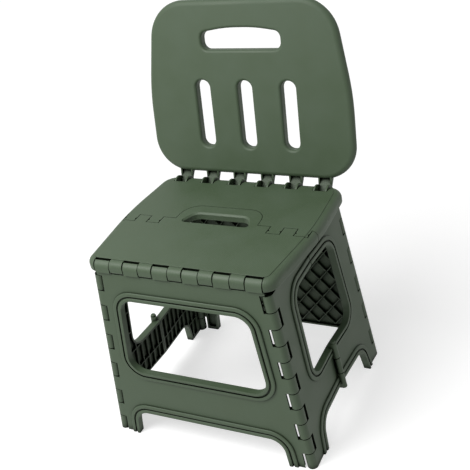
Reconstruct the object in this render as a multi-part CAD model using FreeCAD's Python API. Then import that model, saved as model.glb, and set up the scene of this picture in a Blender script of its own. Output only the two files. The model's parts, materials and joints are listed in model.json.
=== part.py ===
import FreeCAD, Part
import math
import os

# Folding stool with a backrest, standing open on the floor. Sizes are in mm, x to the right as seen from the
# front, y to the rear, z up. The pieces are worked out round the middle of the seat's footprint on the floor.

Vector = FreeCAD.Vector
LEFT, RIGHT = -1, 1
FRONT, REAR = -1, 1
RIGHTWARD, REARWARD, UPWARD = Vector(1, 0, 0), Vector(0, 1, 0), Vector(0, 0, 1)
FAR = 1000.0
HALF_TURN = 180

# Base: where the outer faces of the four panels meet the floor, and how much they lean in
base_half_width = 171.7
base_half_depth = 140.7
side_lean = 5.47
front_lean = 2.27

# Panels
panel_thickness = 7.4
panel_skin = 3.0
panel_wall = 3.0
leg_panel_top = 300.0
side_panel_top = 294.0
pocket_foot = 6.0
pocket_corner = 15.0

# Beads round the openings: an outer ridge, a groove and an inner lip
bead_outer_reach = 14.0
bead_outer_height = 2.8
bead_groove_reach = 8.0
bead_groove_floor = 0.9
bead_inner_reach = 5.5
bead_inner_height = 3.6
bead_round = 2.0
bead_root = 1.0

# Window and foot arch of the front panel, as half widths, heights and corner radii
front_window_low = 126.0
front_window_high = 257.0
front_window_half_low = 118.0
front_window_half_high = 105.0
front_window_round = 24.0
front_arch_high = 46.0
front_arch_half_high = 126.0
front_arch_half_floor = 131.0
front_arch_round = 24.0

# Window and foot arch that the two halves of a side share
side_window_low = 117.0
side_window_high = 262.0
side_window_half_low = 77.0
side_window_half_high = 70.0
side_window_round = 24.0
side_arch_high = 48.0
side_arch_half_high = 86.0
side_arch_half_floor = 94.0
side_arch_round = 26.0

# Finger hinges at the four corners
corner_inset = 8.0
finger_count = 11
finger_gap = 1.4
finger_clearance = 3.6
pin_radius = 2.0
pin_fit = 0.05
loose_pivot = 0.7
corner_pin_low = 6.0
corner_pin_below_top = 4.0

# Hinge in the middle of each side, with the sides bent inward a little when the stool stands open
side_bend = 5.0
mid_level = 85.0
mid_barrel = 4.75
mid_barrel_low = 40.0
mid_barrel_high = 124.0
mid_barrel_count = 3
mid_clearance = 0.4
mid_pin_radius = 1.8
mid_head_radius = 4.0
mid_head_height = 3.0
half_gap = 0.8

# Seat
seat_height = 320.0
seat_rim = 19.5
seat_front = 131.4
seat_rear = 131.0
seat_half_front = 150.0
seat_half_middle = 164.0
seat_half_rear = 155.0
seat_middle = 10.0
seat_front_corner = 20.0
seat_rear_corner = 26.0
seat_bulge = 500.0
seat_edge_round = 9.0
seat_lower_round = 4.0
seat_pad_inset = 11.0
seat_pad_rise = 0.8
seat_pad_round = 0.7
seat_skin = 3.5
seat_wall = 5.0

# Front and rear hinges of the seat
hinge_drop = 12.0
hinge_count = 6
hinge_pitch = 48.8
knuckle_width = 24.4
knuckle_side_gap = 1.4
knuckle_plate = 7.0
knuckle_slot = 5.0
knuckle_slot_floor = 2.5
knuckle_boss = 6.0
notch_clearance = 0.6
arm_notch_radius = 15.8
arm_width = 22.0
arm_rib = 2.6
arm_back = 3.0
sweep_clearance = 0.5
seat_pin_half = 139.0
pin_end_gap = 0.5

# Centre hinge of the seat: seam, fingers and the tongue with the hand slot
seam = 1.0
seam_gap = 0.8
finger_edges = (90.0, 111.5, 133.0, 154.5)
seat_finger_gap = 1.2
seat_finger_reach = 16.5
seat_finger_depth = 8.0
seat_finger_web = 8.0
finger_notch_middle = -9.8
finger_notch_length = 9.5
finger_notch_depth = 2.6
centre_barrel = 4.5
centre_clearance = 1.6
centre_pin_radius = 1.5
centre_pivot_loose = 1.4
centre_relief = 30.0
centre_relief_rise = 1.2
tongue_half = 70.0
tongue_half_end = 66.0
tongue_end = 41.5
tongue_round = 28.0
tongue_thickness = 11.0
tongue_gap = 0.8
slot_front = -5.0
slot_rear = 21.0
slot_half_front = 56.0
slot_half_rear = 45.0
slot_front_round = 4.0
slot_rear_round = 16.0
slot_edge = 2.5

# Backrest, measured up its own front face from its lower edge
back_foot = 326.5
back_foot_y = 133.2
back_recline = 9.4
back_height = 273.0
back_thickness = 14.0
back_step = 5.0
back_step_inset = 2.5
back_skin = 3.5
back_wall = 3.0
back_edge_round = 8.0
back_dish_round = 4.5
back_half_low = 174.5
back_half_bend = 173.0
back_bend_height = 130.0
back_half_high = 149.0
back_low_round = 54.0
back_bend_round = 400.0
back_high_round = 64.0
back_hole_low = 198.0
back_hole_high = 231.0
back_hole_half = 66.5
back_hole_shoulder = 224.5
back_hole_half_high = 25.0
back_hole_round = 11.0
back_hole_crown = 250.0
back_slot_pitch = 73.0
back_slot_low = 44.0
back_slot_high = 151.0
back_slot_half = 12.2
back_slot_round = 12.0

# Largest part of a straight edge that the rounding of one corner may take
corner_share = 0.499

# Values that follow from the sizes above
side_slope = math.tan(math.radians(side_lean))
front_slope = math.tan(math.radians(front_lean))
corner_x = base_half_width - corner_inset / math.cos(math.radians(side_lean))
corner_y = base_half_depth - corner_inset / math.cos(math.radians(front_lean))
finger_height = side_panel_top / finger_count
hinge_z = seat_height - hinge_drop
hinge_y = corner_y - front_slope * hinge_z
knuckle_radius = seat_front - hinge_y
mid_standoff = mid_barrel + mid_clearance
mid_x = base_half_width - side_slope * mid_level - side_bend + mid_standoff
mid_reach = corner_y - front_slope * mid_level
mid_offset = mid_x - (corner_x - side_slope * mid_level)
apex_z = corner_y / front_slope
apex_x = corner_x - side_slope * apex_z
bend_angle = math.degrees(math.atan(side_bend / mid_reach))
centre_z = hinge_z - mid_offset * hinge_y / mid_reach
rim_low = seat_height - seat_rim
stem_depth = hinge_z - side_panel_top - sweep_clearance
pad_base = seat_height - seat_pad_rise
hinge_places = [(i - (hinge_count - 1) / 2) * hinge_pitch for i in range(hinge_count)]


def rounded_wire(corners):
    """Closed wire through corners given as x, y and radius, each corner rounded by its radius."""
    places = []
    for i, (x, y, radius) in enumerate(corners):
        corner = Vector(x, y, 0)
        to_last = (Vector(*corners[i - 1][:2], 0) - corner).normalize()
        to_next = (Vector(*corners[(i + 1) % len(corners)][:2], 0) - corner).normalize()
        half = to_last.getAngle(to_next) / 2
        edges = [corner.distanceToPoint(Vector(*corners[k % len(corners)][:2], 0)) for k in (i - 1, i + 1)]
        along = min(radius / math.tan(half), min(edges) * corner_share)
        radius = along * math.tan(half)
        inward = (to_last + to_next).normalize()
        middle = corner + inward * (radius / math.sin(half) - radius)
        places.append((corner + to_last * along, middle, corner + to_next * along, radius))
    edges = []
    for i, (start, middle, end, radius) in enumerate(places):
        if radius > 0:
            edges.append(Part.Arc(start, middle, end).toShape())
        edges.append(Part.LineSegment(end, places[(i + 1) % len(places)][0]).toShape())
    return Part.Wire(edges)


def grown(corners, distance):
    """A convex outline, listed counterclockwise, moved outward by a distance or inward by a negative one."""
    result = []
    for i, (x, y, radius) in enumerate(corners):
        corner = Vector(x, y, 0)
        before = corner - Vector(*corners[i - 1][:2], 0)
        after = Vector(*corners[(i + 1) % len(corners)][:2], 0) - corner
        first = before.cross(UPWARD).normalize()
        second = after.cross(UPWARD).normalize()
        moved = corner + (first + second) * (distance / (1 + first.dot(second)))
        result.append((moved.x, moved.y, max(radius + distance, 0)))
    return result


def mirrored_pairs(*right_side):
    """Outline that is alike left and right, from its right corners listed from low to high."""
    return list(right_side) + [(-x, y, radius) for x, y, radius in reversed(right_side)]


def prism(corners, low, high):
    """Solid with a rounded outline, standing between two levels of its own z."""
    face = Part.Face(rounded_wire(corners))
    face.translate(Vector(0, 0, low))
    return face.extrude(Vector(0, 0, high - low))


def box(x_low, x_high, y_low, y_high, z_low, z_high):
    """Upright block between two places along each axis."""
    return Part.makeBox(x_high - x_low, y_high - y_low, z_high - z_low, Vector(x_low, y_low, z_low))


def frame(origin, right, up):
    """Placement whose own x runs right, y runs up and z runs outward."""
    right.normalize()
    up.normalize()
    out = right.cross(up)
    rows = [value for axis in "xyz" for value in (
        getattr(right, axis), getattr(up, axis), getattr(out, axis), getattr(origin, axis))]
    return FreeCAD.Placement(FreeCAD.Matrix(*rows, 0, 0, 0, 1))


def placed(shape, placement):
    """Shape moved from its own axes to the stool's."""
    return shape.transformed(placement.toMatrix())


def mirrored(shape, side, end):
    """Right rear shape turned to another side and end of the stool."""
    if side == LEFT:
        shape = shape.mirror(Vector(), RIGHTWARD)
    if end == FRONT:
        shape = shape.mirror(Vector(), REARWARD)
    return shape


def rounded_at(shape, level, radius):
    """Shape with its edges at one level of z rounded."""
    slack = panel_skin / 100
    edges = [e for e in shape.Edges
             if abs(e.BoundBox.ZMin - level) < slack and abs(e.BoundBox.ZMax - level) < slack]
    return shape.makeFillet(radius, edges)


def across(y, z, radius, x_low, x_high):
    """Cylinder along x on an axis through y and z."""
    return Part.makeCylinder(radius, x_high - x_low, Vector(x_low, y, z), RIGHTWARD)


def on_corner(low, high, radius):
    """Cylinder on the right rear corner's hinge axis between two heights."""
    start = Vector(corner_x - side_slope * low, corner_y - front_slope * low, low)
    end = Vector(corner_x - side_slope * high, corner_y - front_slope * high, high)
    return Part.makeCylinder(radius, (end - start).Length, start, end - start)


def on_middle(low, high, radius):
    """Cylinder on the right side's middle hinge axis between two heights."""
    start, end = [Vector(mid_x + (apex_x - mid_x) * (z - mid_level) / (apex_z - mid_level), 0, z)
                  for z in (low, high)]
    return Part.makeCylinder(radius, (end - start).Length, start, end - start)


def without_floor(shape):
    """Shape with everything below the floor cut away."""
    return shape.cut(box(-FAR, FAR, -FAR, FAR, -FAR, 0))


def finger_spans(first, margin):
    """Heights of every second corner finger, each made longer by a margin at both ends."""
    spans = []
    for i in range(first, finger_count, 2):
        low = -finger_height if i == 0 else i * finger_height - margin
        spans.append((low, (i + 1) * finger_height + margin))
    return spans


def panel_plate(outline, pocket, openings):
    """Panel with ridged beads round its openings and a hollow inner face, in its own axes."""
    plate = prism(outline, -panel_thickness, 0)
    for opening in openings:
        ridge = prism(grown(opening, bead_outer_reach), -bead_root, bead_outer_height)
        ridge = rounded_at(ridge, bead_outer_height, bead_round)
        ridge = ridge.cut(prism(grown(opening, bead_groove_reach), bead_groove_floor, FAR))
        lip = prism(grown(opening, bead_inner_reach), -bead_root, bead_inner_height)
        lip = rounded_at(lip, bead_inner_height, bead_round)
        plate = plate.fuse(ridge.fuse(lip).common(prism(outline, -FAR, FAR)))
    hollow = prism(pocket, -panel_thickness, -panel_skin)
    for opening in openings:
        hollow = hollow.cut(prism(grown(opening, panel_wall), -FAR, FAR))
    plate = plate.cut(hollow)
    for opening in openings:
        plate = plate.cut(prism(opening, -FAR, FAR))
    return plate


def leg_panel(openings):
    """Rear leg panel with its corner fingers, up to its top edge."""
    def half_width(height, inset):
        return corner_x - side_slope * height - inset

    rise = 1 / math.cos(math.radians(front_lean))
    low, high = -finger_height, leg_panel_top
    hollow_high = leg_panel_top - corner_inset - panel_wall
    outline = mirrored_pairs((half_width(low, 0), low * rise, 0), (half_width(high, 0), high * rise, 0))
    pocket = mirrored_pairs((half_width(pocket_foot, pocket_corner), pocket_foot * rise, panel_wall),
                            (half_width(hollow_high, pocket_corner), hollow_high * rise, panel_wall))
    plate = panel_plate(outline, pocket, openings)
    up = Vector(0, -front_slope, 1)
    panel = placed(plate, frame(Vector(0, base_half_depth, 0), -RIGHTWARD, up))
    for side in (LEFT, RIGHT):
        for low, high in finger_spans(0, finger_gap / 2):
            panel = panel.cut(mirrored(on_corner(low, high, corner_inset + finger_clearance), side, REAR))
        for low, high in finger_spans(1, -finger_gap / 2):
            panel = panel.fuse(mirrored(on_corner(low, high, corner_inset), side, REAR))
        hole = on_corner(corner_pin_low, side_panel_top - corner_pin_below_top, pin_radius + pin_fit)
        panel = panel.cut(mirrored(hole, side, REAR))
    return without_floor(panel)


def corner_pin():
    """Rod of the right rear corner hinge."""
    low = corner_pin_low + pin_end_gap
    high = side_panel_top - corner_pin_below_top - pin_end_gap
    return on_corner(low, high, pin_radius)


def middle_spans(own, margin):
    """Heights of the middle hinge's barrel pieces that belong to the front half, or to the rear half."""
    step = (mid_barrel_high - mid_barrel_low) / mid_barrel_count
    return [(mid_barrel_low + i * step - margin, mid_barrel_low + (i + 1) * step + margin)
            for i in range(mid_barrel_count) if (i % 2 == 0) == (own == FRONT)]


def side_half(end, corner_hole):
    """Half of the right side panel, made as the rear half and turned to its own end by its caller."""
    def reach(height, inset):
        return corner_y - front_slope * height - inset

    rise = 1 / math.cos(math.radians(side_lean))
    low, high = -finger_height, side_panel_top
    hollow_high = side_panel_top - panel_wall
    past = -corner_inset
    wall = panel_wall + half_gap
    outline = [(past, low * rise, 0), (reach(low, 0), low * rise, 0),
               (reach(high, 0), high * rise, 0), (past, high * rise, 0)]
    pocket = [(wall, pocket_foot * rise, 0), (reach(pocket_foot, pocket_corner), pocket_foot * rise, 0),
              (reach(hollow_high, pocket_corner), hollow_high * rise, 0), (wall, hollow_high * rise, 0)]
    window = mirrored_pairs((side_window_half_low, side_window_low * rise, side_window_round),
                            (side_window_half_high, side_window_high * rise, side_window_round))
    arch_floor = (side_arch_half_floor - side_arch_half_high) / side_arch_high
    arch = mirrored_pairs((side_arch_half_floor + arch_floor * finger_height, -finger_height * rise, 0),
                          (side_arch_half_high, side_arch_high * rise, side_arch_round))
    plate = panel_plate(outline, pocket, [window, arch])
    half = placed(plate, frame(Vector(base_half_width, 0, 0), Vector(REARWARD), Vector(-side_slope, 0, 1)))
    axis = Vector(-side_slope, -front_slope, 1)
    half.rotate(Vector(corner_x, corner_y, 0), axis, -bend_angle)
    half = half.cut(box(-FAR, FAR, -FAR, half_gap / 2, -FAR, FAR))
    for low, high in finger_spans(1, finger_gap / 2):
        half = half.cut(on_corner(low, high, corner_inset + finger_clearance))
    for low, high in finger_spans(0, -finger_gap / 2):
        half = half.fuse(on_corner(low, high, corner_inset))
    half = half.cut(on_corner(corner_pin_low, side_panel_top - corner_pin_below_top, corner_hole))
    along = Vector(apex_x - mid_x, 0, apex_z - mid_level)
    at_hinge = frame(Vector(mid_x, 0, mid_level), Vector(REARWARD), along)
    for low, high in middle_spans(-end, finger_gap / 2):
        half = half.cut(on_middle(low, high, mid_standoff))
    for low, high in middle_spans(end, -finger_gap / 2):
        block = box(half_gap / 2, mid_barrel, low - mid_level, high - mid_level,
                    -mid_standoff - panel_skin / 2, 0)
        half = half.fuse(placed(block, at_hinge)).fuse(on_middle(low, high, mid_barrel))
    half = half.cut(on_middle(-finger_height, side_panel_top, mid_pin_radius + pin_fit))
    return without_floor(half)


def middle_pin():
    """Headed pin of the right side's middle hinge."""
    top = mid_barrel_high - finger_gap / 2 + pin_fit
    shank = on_middle(mid_barrel_low + pin_end_gap, top, mid_pin_radius)
    head = on_middle(top, top + mid_head_height, mid_head_radius)
    crown = head.Edges[0] if head.Edges[0].CenterOfMass.z > head.CenterOfMass.z else head.Edges[2]
    return shank.fuse(head.makeFillet(mid_head_height / 2, [crown])).removeSplitter()


def whole_seat():
    """Seat in one piece, with its rounded rim and raised pad, and the room inside its walls."""
    outline = mirrored_pairs((seat_half_front, -seat_front, seat_front_corner),
                             (seat_half_middle, seat_middle, seat_bulge),
                             (seat_half_rear, seat_rear, seat_rear_corner))
    seat = rounded_at(prism(outline, rim_low, pad_base), pad_base, seat_edge_round)
    seat = rounded_at(seat, rim_low, seat_lower_round)
    pad = prism(grown(outline, -seat_pad_inset), pad_base - seat_pad_rise, seat_height)
    seat = seat.fuse(rounded_at(pad, seat_height, seat_pad_round))
    return seat, prism(grown(outline, -seat_wall), rim_low - seat_rim, seat_height - seat_skin)


def hand_slot():
    """Opening of the hand slot, wider at the seat's top face."""
    slot = mirrored_pairs((slot_half_front, slot_front, slot_front_round),
                          (slot_half_rear, slot_rear, slot_rear_round))
    low, high = rounded_wire(slot), rounded_wire(grown(slot, slot_edge))
    low.translate(Vector(0, 0, seat_height - slot_edge))
    high.translate(Vector(0, 0, seat_height))
    return [prism(slot, rim_low - seat_rim, seat_height + seat_rim), Part.makeLoft([low, high], True)]


def tongue(margin):
    """Upright block with the outline of the tongue, made larger by a margin."""
    outline = mirrored_pairs((tongue_half, -slot_rear, 0), (tongue_half_end, tongue_end, tongue_round))
    return prism(grown(outline, margin), 0, FAR)


def fingers(first, margin, y_low, y_high, z_low, z_high):
    """Blocks over the centre hinge fingers that begin at one of the finger edges, left and right."""
    low = finger_edges[first] + seat_finger_gap / 2 - margin
    high = finger_edges[first + 1] - seat_finger_gap / 2 + margin
    return [box(low, high, y_low, y_high, z_low, z_high), box(-high, -low, y_low, y_high, z_low, z_high)]


def finger_notches():
    """Upright wedges that widen the gaps beside the rear half's fingers."""
    low = finger_notch_middle - finger_notch_length / 2
    high = finger_notch_middle + finger_notch_length / 2
    wedges = []
    for first in (0, 2):
        for edge, inward in ((finger_edges[first], 1), (finger_edges[first + 1], -1)):
            start = edge - inward * seat_finger_gap
            tip = edge + inward * finger_notch_depth
            corners = [(start, low, 0), (tip, finger_notch_middle, 0), (start, high, 0)]
            wedge = prism(corners[::inward], 0, FAR)
            wedges += [wedge, wedge.mirror(Vector(), RIGHTWARD)]
    return wedges


def centre_barrels(first, margin, radius):
    """Cylinders on the centre hinge axis, as wide as the fingers that begin at one of the finger edges."""
    low = finger_edges[first] + seat_finger_gap / 2 - margin
    high = finger_edges[first + 1] - seat_finger_gap / 2 + margin
    right = across(0, centre_z, radius, low, high)
    return [right, right.mirror(Vector(), RIGHTWARD)]


def centre_holes(radius, margin):
    """Bores for the two centre pins."""
    low = finger_edges[0] + seat_finger_gap + pin_end_gap
    high = finger_edges[-1] - seat_finger_gap - pin_end_gap
    right = across(0, centre_z, radius, low - margin, high + margin)
    return [right, right.mirror(Vector(), RIGHTWARD)]


def seat_front_half(seat, hollow):
    """Front half of the seat with its tongue, its hand slot and two centre lugs."""
    relief = box(-FAR, FAR, -centre_relief, FAR, -FAR, centre_z + centre_relief_rise)
    under_tongue = box(-FAR, FAR, seam, FAR, -FAR, seat_height - tongue_thickness)
    half = seat.common(box(-FAR, FAR, -FAR, seam, 0, FAR).fuse(tongue(0)))
    half = half.cut(relief).cut(under_tongue)
    half = half.fuse(centre_barrels(1, 0, centre_barrel))
    for first in (0, 2):
        half = half.cut(fingers(first, seat_finger_gap, -seat_finger_reach - seam_gap, FAR, 0, FAR))
    for x in hinge_places:
        wide = knuckle_width / 2 + knuckle_side_gap
        half = half.cut(box(x - wide, x + wide, -FAR, -hinge_y, 0, FAR))
        half = half.cut(across(-hinge_y, hinge_z, knuckle_radius + notch_clearance, x - wide, x + wide))
    low = knuckle_radius + notch_clearance + seat_wall - hinge_y
    high = -seat_finger_reach - seam_gap - seat_wall
    half = half.cut(hollow.common(box(-FAR, FAR, low, high, 0, FAR)))
    half = half.cut(across(-hinge_y, hinge_z, pin_radius + pin_fit, -seat_pin_half - pin_end_gap,
                           seat_pin_half + pin_end_gap))
    half = half.cut(centre_holes(centre_pin_radius + centre_pivot_loose, seat_wall))
    return half.cut(hand_slot())


def seat_rear_half(seat, hollow):
    """Rear half of the seat with its four centre fingers and the recess for the tongue."""
    relief = box(-FAR, FAR, -FAR, centre_relief, -FAR, centre_z + centre_relief_rise)
    front = seam + seam_gap
    half = seat.cut(box(-FAR, FAR, -FAR, front, 0, FAR)).cut(relief)
    finger_low = seat_height - seat_finger_depth
    for first in (0, 2):
        for block in fingers(first, 0, -seat_finger_reach, seat_finger_web, finger_low, FAR):
            half = half.fuse(seat.common(block))
        for block in fingers(first, 0, -centre_barrel, seat_finger_web, centre_z, seat_height - seat_skin):
            half = half.fuse(seat.common(block))
        half = half.fuse(centre_barrels(first, 0, centre_barrel))
    half = half.cut(centre_barrels(1, seat_finger_gap, centre_barrel + centre_clearance))
    half = half.cut(finger_notches()).cut(tongue(tongue_gap))
    for x in hinge_places:
        wide = knuckle_width / 2
        half = half.cut(box(x - wide, x + wide, hinge_y, FAR, 0, FAR))
        half = half.cut(across(hinge_y, hinge_z, arm_notch_radius, x - wide, x + wide))
    low = seat_finger_web + seat_wall
    high = hinge_y - arm_notch_radius - seat_wall
    beside = tongue_half + tongue_gap + seat_wall
    behind = tongue_end + tongue_gap + seat_wall
    room = box(-FAR, FAR, behind, high, 0, FAR)
    room = room.fuse([box(-FAR, -beside, low, high, 0, FAR), box(beside, FAR, low, high, 0, FAR)])
    half = half.cut(hollow.common(room))
    half = half.cut(across(hinge_y, hinge_z, pin_radius + pin_fit, -seat_pin_half - pin_end_gap,
                           seat_pin_half + pin_end_gap))
    return half.cut(centre_holes(centre_pin_radius + pin_fit, pin_end_gap))


def swept_tab(reach):
    """Radius that the lower edge of the seat's tabs sweeps about its hinge, with clearance."""
    side = reach - hinge_y - seat_lower_round
    down = hinge_z - rim_low - seat_lower_round
    return math.hypot(side, down) + seat_lower_round + sweep_clearance


def with_hinge_top(panel, reach):
    """Leg panel with room above it for the seat's tabs to swing."""
    return panel.cut(across(hinge_y, hinge_z, swept_tab(reach), -FAR, FAR))


def front_panel():
    """Front leg panel with its window, foot arch and six seat hinge knuckles."""
    rise = 1 / math.cos(math.radians(front_lean))
    window = mirrored_pairs((front_window_half_low, front_window_low * rise, front_window_round),
                            (front_window_half_high, front_window_high * rise, front_window_round))
    panel = with_hinge_top(leg_panel([window, foot_arch()]), seat_front)
    # The knuckles are drawn on the hinge axis, across the leaning panel: x outward and y up the panel.
    at_hinge = frame(Vector(0, hinge_y, hinge_z), Vector(0, 1, front_slope), Vector(0, -front_slope, 1))
    inner = corner_inset - panel_thickness
    apron = hinge_z - rim_low
    slot = knuckle_radius - knuckle_plate
    for x in hinge_places:
        low, high = x - knuckle_width / 2, x + knuckle_width / 2
        stem = prism([(inner, -stem_depth, 0), (corner_inset, -stem_depth, 0), (corner_inset, 0, 0),
                      (inner, 0, 0)], low, high)
        face = prism([(inner, -apron, 0), (knuckle_radius, -apron, 0), (knuckle_radius, 0, 0),
                      (inner, 0, 0)], low, high)
        dome = Part.makeCylinder(knuckle_radius, high - low, Vector(0, 0, low), UPWARD, HALF_TURN)
        dome = dome.cut(prism([(slot - knuckle_slot, knuckle_slot_floor, 0), (slot, knuckle_slot_floor, 0),
                               (slot, hinge_drop, 0), (slot - knuckle_slot, hinge_drop, 0)], low, high))
        boss = Part.makeCylinder(knuckle_boss, high - low, Vector(0, 0, low))
        panel = panel.fuse(placed(stem.fuse([face, dome, boss]), at_hinge))
    panel = panel.cut(across(hinge_y, hinge_z, pin_radius + pin_fit, -FAR, FAR))
    return mirrored(panel.removeSplitter(), RIGHT, FRONT)


def foot_arch():
    """Outline of the arch between the feet of the front and rear panels."""
    rise = 1 / math.cos(math.radians(front_lean))
    flare = (front_arch_half_floor - front_arch_half_high) / front_arch_high
    return mirrored_pairs((front_arch_half_floor + flare * finger_height, -finger_height * rise, 0),
                          (front_arch_half_high, front_arch_high * rise, front_arch_round))


def arms():
    """Six channel arms on the rear panel's top edge that hold the seat hinge and carry the backrest."""
    lean = math.tan(math.radians(back_recline))
    foot = back_foot - hinge_z
    face = back_foot_y - hinge_y
    inner = corner_inset - panel_thickness
    top = foot + back_thickness
    round_top = arm_notch_radius - sweep_clearance
    shelf = math.sqrt(round_top ** 2 - face ** 2)
    behind = face + back_thickness - back_step_inset
    side_view = [(inner, -stem_depth, 0), (corner_inset, -stem_depth, 0), (corner_inset, 0, 0),
                 (behind, foot, 0), (behind + lean * back_thickness, top, 0),
                 (face + back_skin / 2 + lean * back_thickness, top, 0), (face + back_skin / 2, foot, 0),
                 (face, shelf, 0), (inner, 0, 0)]
    back_view = [(corner_inset - arm_back, -stem_depth, 0), (corner_inset, -stem_depth, 0),
                 (corner_inset, 0, 0), (behind, foot, 0), (behind + lean * back_thickness, top, 0),
                 (behind + lean * back_thickness - arm_back, top, 0), (behind - arm_back, foot, 0),
                 (corner_inset - arm_back, arm_back, 0)]
    at_hinge = frame(Vector(0, hinge_y, hinge_z), Vector(REARWARD), Vector(UPWARD))
    solids = []
    for x in hinge_places:
        low, high = x - arm_width / 2, x + arm_width / 2
        pieces = [prism(back_view, low, high)]
        for rib in (low, high - arm_rib):
            pieces.append(prism(side_view, rib, rib + arm_rib))
            pieces.append(Part.makeCylinder(round_top, arm_rib, Vector(0, 0, rib), UPWARD, HALF_TURN))
        solids.append(placed(pieces[0].fuse(pieces[1:]), at_hinge))
    return solids


def backrest():
    """Backrest shell with its hand hole, three slots and stepped rim, in the stool's axes."""
    outline = mirrored_pairs((back_half_low, 0, back_low_round),
                             (back_half_bend, back_bend_height, back_bend_round),
                             (back_half_high, back_height, back_high_round))
    hole = mirrored_pairs((back_hole_half, back_hole_low, back_hole_round),
                          (back_hole_half, back_hole_shoulder, back_hole_round),
                          (back_hole_half_high, back_hole_high, back_hole_crown))
    slot = mirrored_pairs((back_slot_half, back_slot_low, back_slot_round),
                          (back_slot_half, back_slot_high, back_slot_round))
    openings = [hole] + [[(x + i * back_slot_pitch, y, radius) for x, y, radius in slot] for i in (-1, 0, 1)]
    # The openings are dished in a larger sheet first, so that their soft edges differ from the outer edge.
    sheet = prism(grown(outline, back_thickness), back_step - back_thickness, 0)
    for opening in openings:
        sheet = sheet.cut(prism(opening, -FAR, FAR))
    plate = rounded_at(prism(outline, back_step - back_thickness, 0), 0, back_edge_round)
    plate = plate.common(rounded_at(sheet, 0, back_dish_round))
    rear = prism(grown(outline, -back_step_inset), -back_thickness, back_step - back_thickness)
    for opening in openings:
        rear = rear.cut(prism(opening, -FAR, FAR))
    hollow = prism(grown(outline, -back_step_inset - back_wall), -back_thickness, -back_skin)
    for opening in openings:
        hollow = hollow.cut(prism(grown(opening, back_wall), -FAR, FAR))
    shell = plate.fuse(rear).cut(hollow)
    up = Vector(0, math.tan(math.radians(back_recline)), 1)
    return placed(shell, frame(Vector(0, back_foot_y, back_foot), Vector(RIGHTWARD), up))


def rear_panel():
    """Rear leg panel, arms and backrest in one moulding."""
    panel = with_hinge_top(leg_panel([foot_arch()]), seat_rear)
    panel = panel.fuse(arms() + [backrest()])
    return panel.cut(across(hinge_y, hinge_z, pin_radius + pin_fit, -FAR, FAR)).removeSplitter()


def build():
    """Every piece of the stool by name."""
    seat, hollow = whole_seat()
    pieces = {
        "rear_panel_with_backrest": rear_panel(),
        "front_panel": front_panel(),
        "seat_rear_half": seat_rear_half(seat, hollow),
        "seat_front_half": seat_front_half(seat, hollow),
        "seat_rear_pin": across(hinge_y, hinge_z, pin_radius, -seat_pin_half, seat_pin_half),
        "seat_front_pin": across(-hinge_y, hinge_z, pin_radius, -seat_pin_half, seat_pin_half),
    }
    for side, side_name in ((LEFT, "left"), (RIGHT, "right")):
        pin = centre_holes(centre_pin_radius, 0)[1 if side == LEFT else 0]
        pieces["seat_centre_pin_" + side_name] = pin
        pieces[side_name + "_side_pin"] = mirrored(middle_pin(), side, REAR)
        for end, end_name in ((FRONT, "front"), (REAR, "rear")):
            opened = side == RIGHT and end == FRONT
            hole = pin_radius + (loose_pivot if opened else pin_fit)
            pieces[side_name + "_side_" + end_name] = mirrored(side_half(end, hole), side, end)
            pieces[end_name + "_" + side_name + "_corner_pin"] = mirrored(corner_pin(), side, end)
    return pieces


def main():
    """Build the pieces, move them over the middle of the whole footprint and write them."""
    pieces = build()
    boxes = [pieces[name].optimalBoundingBox(False) for name in ("front_panel", "rear_panel_with_backrest")]
    middle = (boxes[0].YMin + boxes[1].YMax) / 2
    os.makedirs("parts", exist_ok=True)
    for name, shape in pieces.items():
        shape.translate(Vector(0, -middle, 0))
        solid = shape.Solids[0] if len(shape.Solids) == 1 else shape
        print(name, "solids", len(shape.Solids), "valid", shape.isValid(), "volume", round(shape.Volume))
        solid.exportStep("parts/" + name + ".step")
    print("moved forward by", round(middle, 4))
    print("seat hinges at y", round(hinge_y, 4), "z", round(hinge_z, 4))
    print("centre hinge at z", round(centre_z, 4))
    print("corner axis foot", round(corner_x, 4), round(corner_y, 4))
    print("slopes", round(side_slope, 6), round(front_slope, 6))
    print("middle hinge foot", round(mid_x, 4), round(mid_level, 4), "bend", round(bend_angle, 4))
    print("apex", round(apex_x, 4), round(apex_z, 4))


main()
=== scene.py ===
# %% [markdown]
# A folding stool with a backrest, moulded in dark green polypropylene. The solids of every moulding and
# hinge rod come from the CAD frame, and this file dresses them: it gives each moulding its finish and adds
# the stiffening ribs that stand inside the hollow panels. Sizes are in metres, in the frame's own axes: x
# to the right as seen from the front, y to the rear, z up. Only the drawings of the panels are in mm.

# %% Load the frame
import json
import math

import bpy
from mathutils import Matrix, Vector


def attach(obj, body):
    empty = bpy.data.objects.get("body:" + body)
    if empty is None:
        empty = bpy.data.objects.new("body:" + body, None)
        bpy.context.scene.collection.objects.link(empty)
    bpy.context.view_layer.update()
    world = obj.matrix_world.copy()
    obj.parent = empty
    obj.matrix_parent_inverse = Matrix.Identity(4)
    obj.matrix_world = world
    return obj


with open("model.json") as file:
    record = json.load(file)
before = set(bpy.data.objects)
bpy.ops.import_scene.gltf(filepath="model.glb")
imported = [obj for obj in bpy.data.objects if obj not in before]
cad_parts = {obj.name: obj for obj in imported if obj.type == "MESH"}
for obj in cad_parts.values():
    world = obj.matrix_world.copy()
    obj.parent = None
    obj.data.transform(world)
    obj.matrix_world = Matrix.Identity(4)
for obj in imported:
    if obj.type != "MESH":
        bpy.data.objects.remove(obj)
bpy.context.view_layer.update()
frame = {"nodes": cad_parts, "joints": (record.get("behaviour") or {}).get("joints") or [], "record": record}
MM = 0.001
nodes = frame["nodes"]
joints = {joint["name"]: joint for joint in frame["joints"]}

# %% [markdown]
# Three small helpers serve every material and every node tree below. Colours are written as sRGB hex
# values, the way a paint chart gives them, and turned to the linear values that the renderer mixes. The
# second helper adds one node, fills in its settings and links its inputs, so that a tree reads as a list of
# steps. The third starts a material and hands over its tree and its surface shader.


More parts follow.
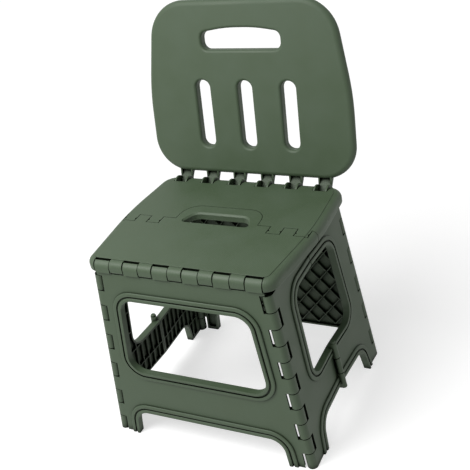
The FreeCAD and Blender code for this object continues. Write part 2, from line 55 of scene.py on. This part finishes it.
# %% Helpers for colours and nodes
def linear(hex_colour):
    """Linear colour with full alpha from an sRGB hex value such as 3f5038."""
    channels = [int(hex_colour[i:i + 2], 16) / 255 for i in (0, 2, 4)]
    return [c / 12.92 if c <= 0.04045 else ((c + 0.055) / 1.055) ** 2.4 for c in channels] + [1.0]


def add_node(tree, kind, settings=None, **inputs):
    """Node with its settings. Each input, by name or by number as in _0, takes a value or a link."""
    node = tree.nodes.new(kind)
    for name, value in (settings or {}).items():
        setattr(node, name, value)
    for name, value in inputs.items():
        socket = node.inputs[int(name[1:])] if name[0] == "_" else node.inputs[name.replace("_", " ")]
        if isinstance(value, bpy.types.NodeSocket):
            tree.links.new(value, socket)
        else:
            socket.default_value = value
    return node


def new_material(name):
    """Node material, with its tree and its surface shader."""
    material = bpy.data.materials.new(name)
    material.use_nodes = True
    tree = material.node_tree
    return material, tree, tree.nodes["Principled BSDF"]


print("middle grey in linear light", round(linear("808080")[0], 3))

# %% [markdown]
# No real surface is quite even. Over patches a few centimetres wide on a moulding, or over fine marks on a
# wire, its colour and its sheen drift a little. A noise on Object coordinates does this, because those stay
# with the piece when it moves. The noise keeps near its middle, so its usual range is stretched to the two
# values given.

# %% Drift over patches
NOISE_LOW, NOISE_HIGH = 0.3, 0.7


def drifting(tree, place, width, low, high):
    """Output that drifts between two values over patches of a real width in metres."""
    patches = add_node(tree, "ShaderNodeTexNoise", Vector=place, Scale=1 / width, Detail=2.0)
    return add_node(tree, "ShaderNodeMapRange", Value=patches.outputs["Fac"], From_Min=NOISE_LOW,
                    From_Max=NOISE_HIGH, To_Min=low, To_Max=high).outputs[0]


print("usual range of the noise", NOISE_LOW, NOISE_HIGH)

# %% [markdown]
# The mouldings are polypropylene, a slightly waxy plastic that comes out of a finely etched steel mould.
# The eye sees a dark green with a broad soft sheen. Where the plastic flowed into the mould, both drift a
# little. Narrow gaps between the hinge knuckles look almost black, because so little light comes back out
# of them. An Ambient Occlusion node finds such places. There, painted shade takes the colour towards a near
# black and fades the sheen.

# %% Green of the mouldings
GREEN = "3f5038"
FLOW_GREEN = "465641"
FLOW_PATCH = 45.0 * MM
FLOW_SHEEN = 0.05
# Near black of the painted shade in narrow gaps
GAP_PAINTED_SHADE = "10140e"
GAP_REACH = 14.0 * MM
GAP_SAMPLES = 8
# A point that sees these shares of its surroundings gets the full painted shade, or plain green
GAP_CLOSED, GAP_OPEN = 0.4, 0.92
OPEN_SHEEN = 0.5


def flow_green(tree, shader, place, roughness):
    """Sets a roughness that drifts with the flow of the plastic, and gives the green that drifts with it."""
    dullness = drifting(tree, place, FLOW_PATCH, roughness - FLOW_SHEEN, roughness + FLOW_SHEEN)
    tree.links.new(dullness, shader.inputs["Roughness"])
    return add_node(tree, "ShaderNodeMixRGB", Fac=drifting(tree, place, FLOW_PATCH, 0.0, 1.0),
                    Color1=linear(GREEN), Color2=linear(FLOW_GREEN)).outputs["Color"]


def paint_gap_shade(tree, shader, green):
    """Gives the shader its colour and its sheen, both darkened by painted shade in narrow gaps."""
    sky_seen = add_node(tree, "ShaderNodeAmbientOcclusion", {"samples": GAP_SAMPLES}, Distance=GAP_REACH)
    openness = add_node(tree, "ShaderNodeMapRange", Value=sky_seen.outputs["AO"], From_Min=GAP_CLOSED,
                        From_Max=GAP_OPEN).outputs[0]
    # Painted shade: the colour goes towards a near black where little of the surroundings is open
    shade = add_node(tree, "ShaderNodeMixRGB", Fac=openness, Color1=linear(GAP_PAINTED_SHADE), Color2=green)
    tree.links.new(shade.outputs["Color"], shader.inputs["Base Color"])
    # Painted shade on the sheen too: the specular level falls with the same openness
    sheen = add_node(tree, "ShaderNodeMath", {"operation": "MULTIPLY"}, _0=openness, _1=OPEN_SHEEN)
    tree.links.new(sheen.outputs[0], shader.inputs["Specular IOR Level"])


print("flow patches", FLOW_PATCH, "gap reach", GAP_REACH)

# %% [markdown]
# The mould leaves a fine grain on the plastic and never a quite sharp edge, and the seat has fine raised
# lines for grip. A Bevel node rounds the shading of sharp edges by about half a millimetre, which costs no
# geometry. The grain is a noise bump and the lines are a wave bump, one on top of the other. Real etching
# is several times finer than the grain widths here, which are as coarse as they need to be to show in the
# render.

# %% Moulded polypropylene
POLYPROPYLENE_IOR = 1.49
SATIN = 0.55
EDGE_ROUND = 0.6 * MM
EDGE_SAMPLES = 6
GRAIN_RELIEF = 0.06 * MM
# A Wave texture of scale 1 repeats every pi / 10 units
WAVE_STEP = math.pi / 10


def etched_bump(tree, place, grain, grip):
    """Normal of rounded edges under an etched grain, with any grip lines of a pitch and a height."""
    edges = add_node(tree, "ShaderNodeBevel", {"samples": EDGE_SAMPLES}, Radius=EDGE_ROUND)
    etching = add_node(tree, "ShaderNodeTexNoise", Vector=place, Scale=1 / grain, Detail=3.0)
    bump = add_node(tree, "ShaderNodeBump", Height=etching.outputs["Fac"], Distance=GRAIN_RELIEF,
                    Normal=edges.outputs["Normal"])
    if grip:
        pitch, height = grip
        lines = add_node(tree, "ShaderNodeTexWave", {"bands_direction": "X"}, Vector=place,
                         Scale=WAVE_STEP / pitch)
        bump = add_node(tree, "ShaderNodeBump", Height=lines.outputs["Fac"], Distance=height,
                        Normal=bump.outputs["Normal"])
    return bump.outputs["Normal"]


def moulded_polypropylene(name, grain, grip=None):
    """Satin moulded plastic with an etched grain of a real width in metres."""
    material, tree, shader = new_material(name)
    shader.inputs["IOR"].default_value = POLYPROPYLENE_IOR
    place = add_node(tree, "ShaderNodeTexCoord").outputs["Object"]
    # The colour and the sheen carry painted shade in narrow gaps
    paint_gap_shade(tree, shader, flow_green(tree, shader, place, SATIN))
    tree.links.new(etched_bump(tree, place, grain, grip), shader.inputs["Normal"])
    return material


PANEL_GRAIN = 1.6 * MM
SEAT_GRAIN = 1.2 * MM
GRIP_PITCH = 2.4 * MM
GRIP_HEIGHT = 0.12 * MM
panel_green = moulded_polypropylene("moulded_polypropylene_panel", PANEL_GRAIN)
seat_green = moulded_polypropylene("moulded_polypropylene_seat", SEAT_GRAIN, (GRIP_PITCH, GRIP_HEIGHT))
print("materials", panel_green.name, seat_green.name)

# %% [markdown]
# The hinge rods are drawn steel wire: a grey metal with fine marks from the die, so its sheen is uneven.
# Almost all of them is hidden in the knuckles, so a roughness that drifts over the marks is enough. The
# marks are drawn coarser than real ones, so that they show at all.

# %% Drawn steel rods
STEEL_GREY = "6e6e6c"
DIE_MARK = 0.4 * MM
STEEL_BRIGHT, STEEL_DULL = 0.28, 0.42

rod_steel, rod_tree, rod_shader = new_material("drawn_steel_rod")
rod_shader.inputs["Base Color"].default_value = linear(STEEL_GREY)
rod_shader.inputs["Metallic"].default_value = 1.0
rod_place = add_node(rod_tree, "ShaderNodeTexCoord").outputs["Object"]
die_marks = drifting(rod_tree, rod_place, DIE_MARK, STEEL_BRIGHT, STEEL_DULL)
rod_tree.links.new(die_marks, rod_shader.inputs["Roughness"])
print("material", rod_steel.name)

# %% [markdown]
# The record of the frame names a material slot for each CAD node. Each slot gets its finish here, so the
# CAD meshes stay as they are and only their materials change.

# %% Finishes of the CAD nodes
finishes = {"panel_polypropylene": panel_green, "pin_polypropylene": panel_green,
            "seat_polypropylene": seat_green, "steel_rod": rod_steel}
slot_of = {part["node"]: part["material_slot"] for part in frame["record"]["subparts"]}
for name, node in nodes.items():
    for i in range(len(node.data.materials)):
        node.data.materials[i] = finishes[slot_of[name]]
print("finished nodes", len(slot_of))

# %% [markdown]
# The inner faces of the panels are hollow trays, stiffened by thin ribs. To draw the ribs on a panel, its
# place and its lean have to be known. They are read from the hinge axes in the frame, so the ribs stay with
# the CAD. The corner hinges lean both ways, and each side half is turned in a little about its corner,
# which dishes the middle of the side and makes it fold inward.

# %% Where the panels stand
CORNER_INSET = 8.0 * MM
SIDE_DISH = 5.0 * MM

middle_y = (joints["seat_rear_hinge"]["pos_m"][1] + joints["seat_front_hinge"]["pos_m"][1]) / 2
corner_hinge = joints["right_rear_corner_hinge"]
corner_foot = Vector(corner_hinge["pos_m"]) - Vector((0, middle_y, 0))
corner_up = Vector(corner_hinge["axis"])
corner_up *= 1 / corner_up.z
side_lean = math.atan(-corner_up.x)
front_lean = math.atan(-corner_up.y)
middle_height = joints["right_middle_hinge"]["pos_m"][2]
side_bend = math.atan(SIDE_DISH / (corner_foot.y + corner_up.y * middle_height))
print("leans", round(math.degrees(side_lean), 2), round(math.degrees(front_lean), 2),
      "side bend", round(math.degrees(side_bend), 4))


def axes_of(origin, right, up):
    """Matrix whose x runs right, y runs up and z runs outward from a panel's outer face."""
    right, up = right.normalized(), up.normalized()
    matrix = Matrix((right, up, right.cross(up))).transposed().to_4x4()
    matrix.translation = origin
    return matrix


def turned(matrix, point, axis, angle):
    """Matrix turned about an axis through a point."""
    return Matrix.Translation(point) @ Matrix.Rotation(angle, 4, axis) @ Matrix.Translation(-point) @ matrix


rear_face_y = corner_foot.y + CORNER_INSET / math.cos(front_lean)
side_face_x = corner_foot.x + CORNER_INSET / math.cos(side_lean)
rear_axes = axes_of(Vector((0, rear_face_y, 0)), Vector((-1, 0, 0)), Vector((0, corner_up.y, 1)))
side_axes = axes_of(Vector((side_face_x, 0, 0)), Vector((0, 1, 0)), Vector((corner_up.x, 0, 1)))
side_axes = turned(side_axes, corner_foot, corner_up, -side_bend)
print("rear face", round(rear_face_y, 4), "side face", round(side_face_x, 4))

# %% [markdown]
# A tray and the openings in it are drawn flat on the panel, in mm: x to the right and y up from the floor.
# Each is a loop of corners, some of them rounded, and all but the side's tray are alike left and right. The
# helper walks round such a loop and puts a few points on each rounding.


# %% Loops with rounded corners
def rounded_loop(corners, steps=6):
    """Points of a closed outline whose corners are given as x, y and radius, in mm."""
    points = []
    for i, (x, y, radius) in enumerate(corners):
        corner = Vector((x, y))
        if radius == 0:
            points.append(corner)
            continue
        to_last = (Vector(corners[i - 1][:2]) - corner).normalized()
        to_next = (Vector(corners[(i + 1) % len(corners)][:2]) - corner).normalized()
        half = to_last.angle(to_next) / 2
        centre = corner + (to_last + to_next).normalized() * radius / math.sin(half)
        start = corner + to_last * radius / math.tan(half) - centre
        end = corner + to_next * radius / math.tan(half) - centre
        sweep = start.angle_signed(end)
        for k in range(steps + 1):
            points.append(centre + Matrix.Rotation(-sweep * k / steps, 2) @ start)
    return points


def alike(*right_side):
    """Loop that is alike left and right, from its right corners listed from low to high."""
    return rounded_loop(list(right_side) + [(-x, y, radius) for x, y, radius in reversed(right_side)])


print("points of a rounded square", len(alike((50, 0, 10), (50, 100, 10))))

# %% [markdown]
# These are the drawings of the trays. The front and rear panels share an arch between the feet, and the
# front and the sides have a window. A wall stands round each opening, so its loop is drawn a wall's width
# larger. The rear panel's diamonds fill a field above the arch, with a smooth strip left beside each corner
# hinge.

# %% Trays and openings of the panels
TRAY_WALL = 3.0
TRAY_CORNER = 15.0
TRAY_FOOT = 6.0
LEG_TRAY_TOP = 289.0
SIDE_TRAY_TOP = 291.0
MIDDLE_WALL = 3.8
OPENING_ROUND = 24.0 + TRAY_WALL
SIDE_ARCH_ROUND = 26.0 + TRAY_WALL
# An arch is drawn on below the floor, where its feet spread a little further
BELOW_FLOOR = -27.0
LEG_ARCH_HALF_LOW, LEG_ARCH_HALF_HIGH, LEG_ARCH_HIGH = 134.0, 126.0, 46.0
SIDE_ARCH_HALF_LOW, SIDE_ARCH_HALF_HIGH, SIDE_ARCH_HIGH = 98.5, 86.0, 48.0
FRONT_WINDOW_HALF_LOW, FRONT_WINDOW_HALF_HIGH = 118.0, 105.0
FRONT_WINDOW_LOW, FRONT_WINDOW_HIGH = 126.0, 257.0
SIDE_WINDOW_HALF_LOW, SIDE_WINDOW_HALF_HIGH = 77.0, 70.0
SIDE_WINDOW_LOW, SIDE_WINDOW_HIGH = 117.0, 262.0
FIELD_GAP = 5.0
SMOOTH_STRIP = 16.0


def leg_half_width(height):
    """Half the clear width of a leg panel's tray at a height."""
    return corner_foot.x / MM + corner_up.x * height - TRAY_CORNER


def side_reach(height):
    """Where a side tray ends towards its corner at a height."""
    return corner_foot.y / MM + corner_up.y * height - TRAY_CORNER


leg_arch = alike((LEG_ARCH_HALF_LOW + TRAY_WALL, BELOW_FLOOR, 0),
                 (LEG_ARCH_HALF_HIGH + TRAY_WALL, LEG_ARCH_HIGH + TRAY_WALL, OPENING_ROUND))
side_arch = alike((SIDE_ARCH_HALF_LOW + TRAY_WALL, BELOW_FLOOR, 0),
                  (SIDE_ARCH_HALF_HIGH + TRAY_WALL, SIDE_ARCH_HIGH + TRAY_WALL, SIDE_ARCH_ROUND))
front_window = alike((FRONT_WINDOW_HALF_LOW + TRAY_WALL, FRONT_WINDOW_LOW - TRAY_WALL, OPENING_ROUND),
                     (FRONT_WINDOW_HALF_HIGH + TRAY_WALL, FRONT_WINDOW_HIGH + TRAY_WALL, OPENING_ROUND))
side_window = alike((SIDE_WINDOW_HALF_LOW + TRAY_WALL, SIDE_WINDOW_LOW - TRAY_WALL, OPENING_ROUND),
                    (SIDE_WINDOW_HALF_HIGH + TRAY_WALL, SIDE_WINDOW_HIGH + TRAY_WALL, OPENING_ROUND))
leg_tray = alike((leg_half_width(TRAY_FOOT), TRAY_FOOT, 0), (leg_half_width(LEG_TRAY_TOP), LEG_TRAY_TOP, 0))
side_tray = rounded_loop([(MIDDLE_WALL, TRAY_FOOT, 0), (side_reach(TRAY_FOOT), TRAY_FOOT, 0),
                          (side_reach(SIDE_TRAY_TOP), SIDE_TRAY_TOP, 0), (MIDDLE_WALL, SIDE_TRAY_TOP, 0)])
field_foot = LEG_ARCH_HIGH + TRAY_WALL + FIELD_GAP
field_right = [(leg_half_width(y) - SMOOTH_STRIP, y) for y in (field_foot, LEG_TRAY_TOP)]
diamond_field = alike(*((x, y, 0) for x, y in field_right))
field_edges = [[Vector((sign * x, y)) for x, y in field_right] for sign in (-1, 1)]
print("tray half widths at the foot", round(leg_half_width(TRAY_FOOT)), round(side_reach(TRAY_FOOT)))

# %% [markdown]
# A rib runs straight across the tray until it meets a wall. So parallel lines are laid across the drawing,
# each is cut wherever it crosses a loop, and the stretches that lie in the tray and outside its openings
# are kept. A stretch hardly longer than a rib is thick would only be a stub, so it is dropped.

# %% Lines across a tray
RIB_THICKNESS = 1.6
SHORTEST_RIB = 2 * RIB_THICKNESS


def crossings(loop, along, across, level):
    """How far along a line each edge of a loop crosses it."""
    found = []
    for i, p in enumerate(loop):
        q = loop[i - 1]
        a, b = p.dot(across) - level, q.dot(across) - level
        if (a < 0) != (b < 0):
            found.append((p + (q - p) * (a / (a - b))).dot(along))
    return found


def inside(point, loop):
    """True where a point lies inside a loop."""
    right, up = Vector((1, 0)), Vector((0, 1))
    return sum(point.x < x for x in crossings(loop, right, up, point.y)) % 2 == 1


def tray_lines(tray, openings, degrees, pitch):
    """Stretches of parallel lines inside a tray and outside its openings, as pairs of points."""
    angle = math.radians(degrees)
    along = Vector((math.cos(angle), math.sin(angle)))
    across = Vector((-along.y, along.x))
    reach = [p.dot(across) for p in tray]
    kept = []
    for step in range(math.ceil(min(reach) / pitch), math.ceil(max(reach) / pitch)):
        level = step * pitch
        foot = across * level
        cuts = sorted(c for loop in [tray] + openings for c in crossings(loop, along, across, level))
        for low, high in zip(cuts, cuts[1:]):
            middle = foot + along * (low + high) / 2
            clear = inside(middle, tray) and not any(inside(middle, hole) for hole in openings)
            if clear and high - low > SHORTEST_RIB:
                kept.append((foot + along * low, foot + along * high))
    return kept


print("shortest rib", SHORTEST_RIB)

# %% [markdown]
# Geometry Nodes turn the clipped lines into ribs. Each line becomes a curve whose normal is the panel's own
# outward direction, and a small rectangle is swept along it with closed ends. One tree serves all the
# panels: only the lines, the sizes, the direction and the material are given to it.


# %% Rib tree
def make_rib_tree():
    """Node tree that sweeps a rectangle along every edge of a mesh."""
    tree = bpy.data.node_groups.new("stiffening_ribs", "GeometryNodeTree")
    for name, kind in (("Lines", "NodeSocketGeometry"), ("Thickness", "NodeSocketFloat"),
                       ("Depth", "NodeSocketFloat"), ("Outward", "NodeSocketVector"),
                       ("Material", "NodeSocketMaterial")):
        tree.interface.new_socket(name, in_out="INPUT", socket_type=kind)
    tree.interface.new_socket("Ribs", in_out="OUTPUT", socket_type="NodeSocketGeometry")
    given = add_node(tree, "NodeGroupInput").outputs
    lines = add_node(tree, "GeometryNodeMeshToCurve", Mesh=given["Lines"])
    facing = add_node(tree, "GeometryNodeSetCurveNormal", {"mode": "FREE"}, Curve=lines.outputs["Curve"],
                      Normal=given["Outward"])
    profile = add_node(tree, "GeometryNodeCurvePrimitiveQuadrilateral", Width=given["Depth"],
                       Height=given["Thickness"])
    swept = add_node(tree, "GeometryNodeCurveToMesh", Curve=facing.outputs["Curve"],
                     Profile_Curve=profile.outputs["Curve"], Fill_Caps=True)
    real = add_node(tree, "GeometryNodeRealizeInstances", Geometry=swept.outputs["Mesh"])
    done = add_node(tree, "GeometryNodeSetMaterial", Geometry=real.outputs["Geometry"],
                    Material=given["Material"])
    add_node(tree, "NodeGroupOutput", Ribs=done.outputs["Geometry"])
    return tree


rib_tree = make_rib_tree()
print("rib tree nodes", len(rib_tree.nodes))

# %% [markdown]
# A panel's drawing is carried to its place by one matrix: the panel's own axes, mirrored to the side where
# it stands, because left and front panels are the mirror image of right and rear ones. The lines run at
# half the depth of the ribs, which fill the tray from the panel's skin to its inner face. The finished ribs
# are turned into a plain mesh, one for each body, and ride with it.

# %% Ribs of one panel
PANEL_SKIN = 3.0 * MM
PANEL_THICKNESS = 7.4 * MM
RIB_DEPTH = PANEL_THICKNESS - PANEL_SKIN


def panel_ribs(name, body, axes, mirror, lines):
    """Plain mesh of ribs along the lines of a panel's drawing, riding on a body."""
    place = Matrix.Translation((0, middle_y, 0)) @ Matrix.Diagonal((*mirror, 1, 1)) @ axes
    depth = -PANEL_SKIN - RIB_DEPTH / 2
    points = [place @ Vector((end.x * MM, end.y * MM, depth)) for line in lines for end in line]
    mesh = bpy.data.meshes.new(name)
    mesh.from_pydata(points, [(i, i + 1) for i in range(0, len(points), 2)], [])
    piece = bpy.data.objects.new(name, mesh)
    bpy.context.scene.collection.objects.link(piece)
    modifier = piece.modifiers.new("ribs", "NODES")
    modifier.node_group = rib_tree
    values = {"Thickness": RIB_THICKNESS * MM, "Depth": RIB_DEPTH,
              "Outward": place.to_3x3() @ Vector((0, 0, 1)), "Material": panel_green}
    for item in rib_tree.interface.items_tree:
        if item.name in values:
            modifier[item.identifier] = values[item.name]
    evaluated = piece.evaluated_get(bpy.context.evaluated_depsgraph_get())
    plain = bpy.data.meshes.new_from_object(evaluated)
    piece.modifiers.clear()
    piece.data = plain
    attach(piece, body)
    print(name, "ribs", len(lines), "faces", len(plain.polygons))


print("rib depth", round(RIB_DEPTH, 4))

# %% [markdown]
# Now the ribs of all the panels. On the rear panel two sets of diagonals cross to make diamonds, and a rib
# closes the field at each side. The front and the sides have upright ribs, close together, and a few level
# ones.

# %% Ribs of the panels
DIAMOND_SLANT = 50.0
DIAMOND_PITCH = 23.0
UPRIGHT_PITCH = 14.5
LEVEL_PITCH = 38.0


def crossed(tray, openings, *sets):
    """Lines of several sets, each given as a direction in degrees and a pitch."""
    return [line for degrees, pitch in sets for line in tray_lines(tray, openings, degrees, pitch)]


diamonds = crossed(diamond_field, [], (DIAMOND_SLANT, DIAMOND_PITCH), (-DIAMOND_SLANT, DIAMOND_PITCH))
squares = ((90.0, UPRIGHT_PITCH), (0.0, LEVEL_PITCH))
front_lines = crossed(leg_tray, [leg_arch, front_window], *squares)
side_lines = crossed(side_tray, [side_arch, side_window], *squares)
panel_ribs("rear_panel_ribs", "rear_frame", rear_axes, (1, 1), diamonds + field_edges)
panel_ribs("front_panel_ribs", "front_frame", rear_axes, (1, -1), front_lines)
for side, x_sign in (("left", -1), ("right", 1)):
    for end, y_sign in (("front", -1), ("rear", 1)):
        panel_ribs(side + "_side_" + end + "_ribs", side + "_" + end, side_axes, (x_sign, y_sign), side_lines)

# %% [markdown]
# The stool stands on pale paper in front of a white backdrop, both outside the object. A paper bright
# enough to look white everywhere would throw too much light up under the seat. So the paper itself is light
# grey and takes the stool's shadow, and only rays that show it to the eye see it lifted to white. The
# backdrop works the same way: white to the eye, and a dimmer light for everything else.

# %% Floor and backdrop
WHITE = "ffffff"
PAPER_GREY = "c4c4c4"
PAPER_ROUGHNESS = 0.9
PAPER_LIFT = 0.64
SKY_LEVEL = 0.2
FLOOR_HALF = 6.0


def seen_directly(tree):
    """One for rays that show the backdrop itself, straight, mirrored or through glass, and else nought."""
    ray = add_node(tree, "ShaderNodeLightPath").outputs
    seen = add_node(tree, "ShaderNodeMath", {"operation": "MAXIMUM"}, _0=ray["Is Camera Ray"],
                    _1=ray["Is Glossy Ray"])
    return add_node(tree, "ShaderNodeMath", {"operation": "MAXIMUM"}, _0=seen.outputs[0],
                    _1=ray["Is Transmission Ray"]).outputs[0]


pale_paper, paper_tree, paper_shader = new_material("pale_paper_floor")
paper_shader.inputs["Base Color"].default_value = linear(PAPER_GREY)
paper_shader.inputs["Roughness"].default_value = PAPER_ROUGHNESS
paper_shader.inputs["Emission Color"].default_value = linear(WHITE)
lift = add_node(paper_tree, "ShaderNodeMath", {"operation": "MULTIPLY"}, _0=seen_directly(paper_tree),
                _1=PAPER_LIFT)
paper_tree.links.new(lift.outputs[0], paper_shader.inputs["Emission Strength"])
floor_mesh = bpy.data.meshes.new("floor")
floor_corners = [(x * FLOOR_HALF, y * FLOOR_HALF, 0) for x, y in ((-1, -1), (1, -1), (1, 1), (-1, 1))]
floor_mesh.from_pydata(floor_corners, [], [(0, 1, 2, 3)])
floor_mesh.materials.append(pale_paper)
floor = bpy.data.objects.new("floor", floor_mesh)
bpy.context.scene.collection.objects.link(floor)

world = bpy.data.worlds.new("studio")
world.use_nodes = True
bpy.context.scene.world = world
sky = world.node_tree.nodes["Background"]
sky.inputs["Color"].default_value = linear(WHITE)
sky_strength = add_node(world.node_tree, "ShaderNodeMapRange", Value=seen_directly(world.node_tree),
                        To_Min=SKY_LEVEL)
world.node_tree.links.new(sky_strength.outputs[0], sky.inputs["Strength"])
print("floor", floor.name, "world", world.name)

# %% [markdown]
# Two lamps stand in for the studio's softboxes, both high at the front left. A sun lamp with a wide angle
# gives the even light and the soft shadow. A round lamp nearer to the stool brightens what is close to it,
# such as the top of the backrest, and fades towards the right.

# %% Softboxes
KEY_STRENGTH = 1.7
KEY_SPREAD = math.radians(40)
KEY_DIRECTION = Vector((0.3, 0.42, -0.86))
FRONT_POWER = 4.8
FRONT_WIDTH = 0.5
FRONT_PLACE = Vector((-0.35, middle_y - 0.6, 0.95))
FRONT_DIRECTION = Vector((0.35, 0.65, -0.5))


def add_lamp(name, kind, energy, direction):
    """Lamp that shines along a direction."""
    lamp = bpy.data.objects.new(name, bpy.data.lights.new(name, kind))
    lamp.data.energy = energy
    lamp.rotation_mode = "QUATERNION"
    lamp.rotation_quaternion = direction.to_track_quat("-Z", "Y")
    bpy.context.scene.collection.objects.link(lamp)
    return lamp


key = add_lamp("softbox_key", "SUN", KEY_STRENGTH, KEY_DIRECTION)
key.data.angle = KEY_SPREAD
softbox = add_lamp("softbox_front", "AREA", FRONT_POWER, FRONT_DIRECTION)
softbox.data.shape = "DISK"
softbox.data.size = FRONT_WIDTH
softbox.location = FRONT_PLACE
softbox.visible_camera = False
print("lamps", len(bpy.data.lights))

# %% [markdown]
# The camera stands where the photograph was taken from: above the backrest, to the right of the front, and
# rolled so that the stool leans to the left in the frame. Its place, its turn and its lens were found by
# fitting the stool's outline to the one in the photograph.

# %% Camera
CAMERA_PLACE = Vector((652.84, -994.96, 973.64)) * MM
AZIMUTH, ELEVATION, ROLL = (math.radians(a) for a in (32.092, 29.827, -11.704))
LENS_MM = 70.55
SENSOR_MM = 36.0

back = Vector((math.sin(AZIMUTH) * math.cos(ELEVATION), -math.cos(AZIMUTH) * math.cos(ELEVATION),
               math.sin(ELEVATION)))
upright = (-back).to_track_quat("-Z", "Y")
camera = bpy.data.objects.new("photo_camera", bpy.data.cameras.new("photo_camera"))
camera.data.sensor_width = SENSOR_MM
camera.data.lens = LENS_MM
camera.rotation_mode = "QUATERNION"
camera.rotation_quaternion = Matrix.Rotation(ROLL, 3, back).to_quaternion() @ upright
camera.location = CAMERA_PLACE + Vector((0, middle_y, 0))
bpy.context.scene.collection.objects.link(camera)
bpy.context.scene.camera = camera
bpy.context.scene.view_settings.view_transform = "Standard"
print("camera", tuple(round(v, 3) for v in camera.location))
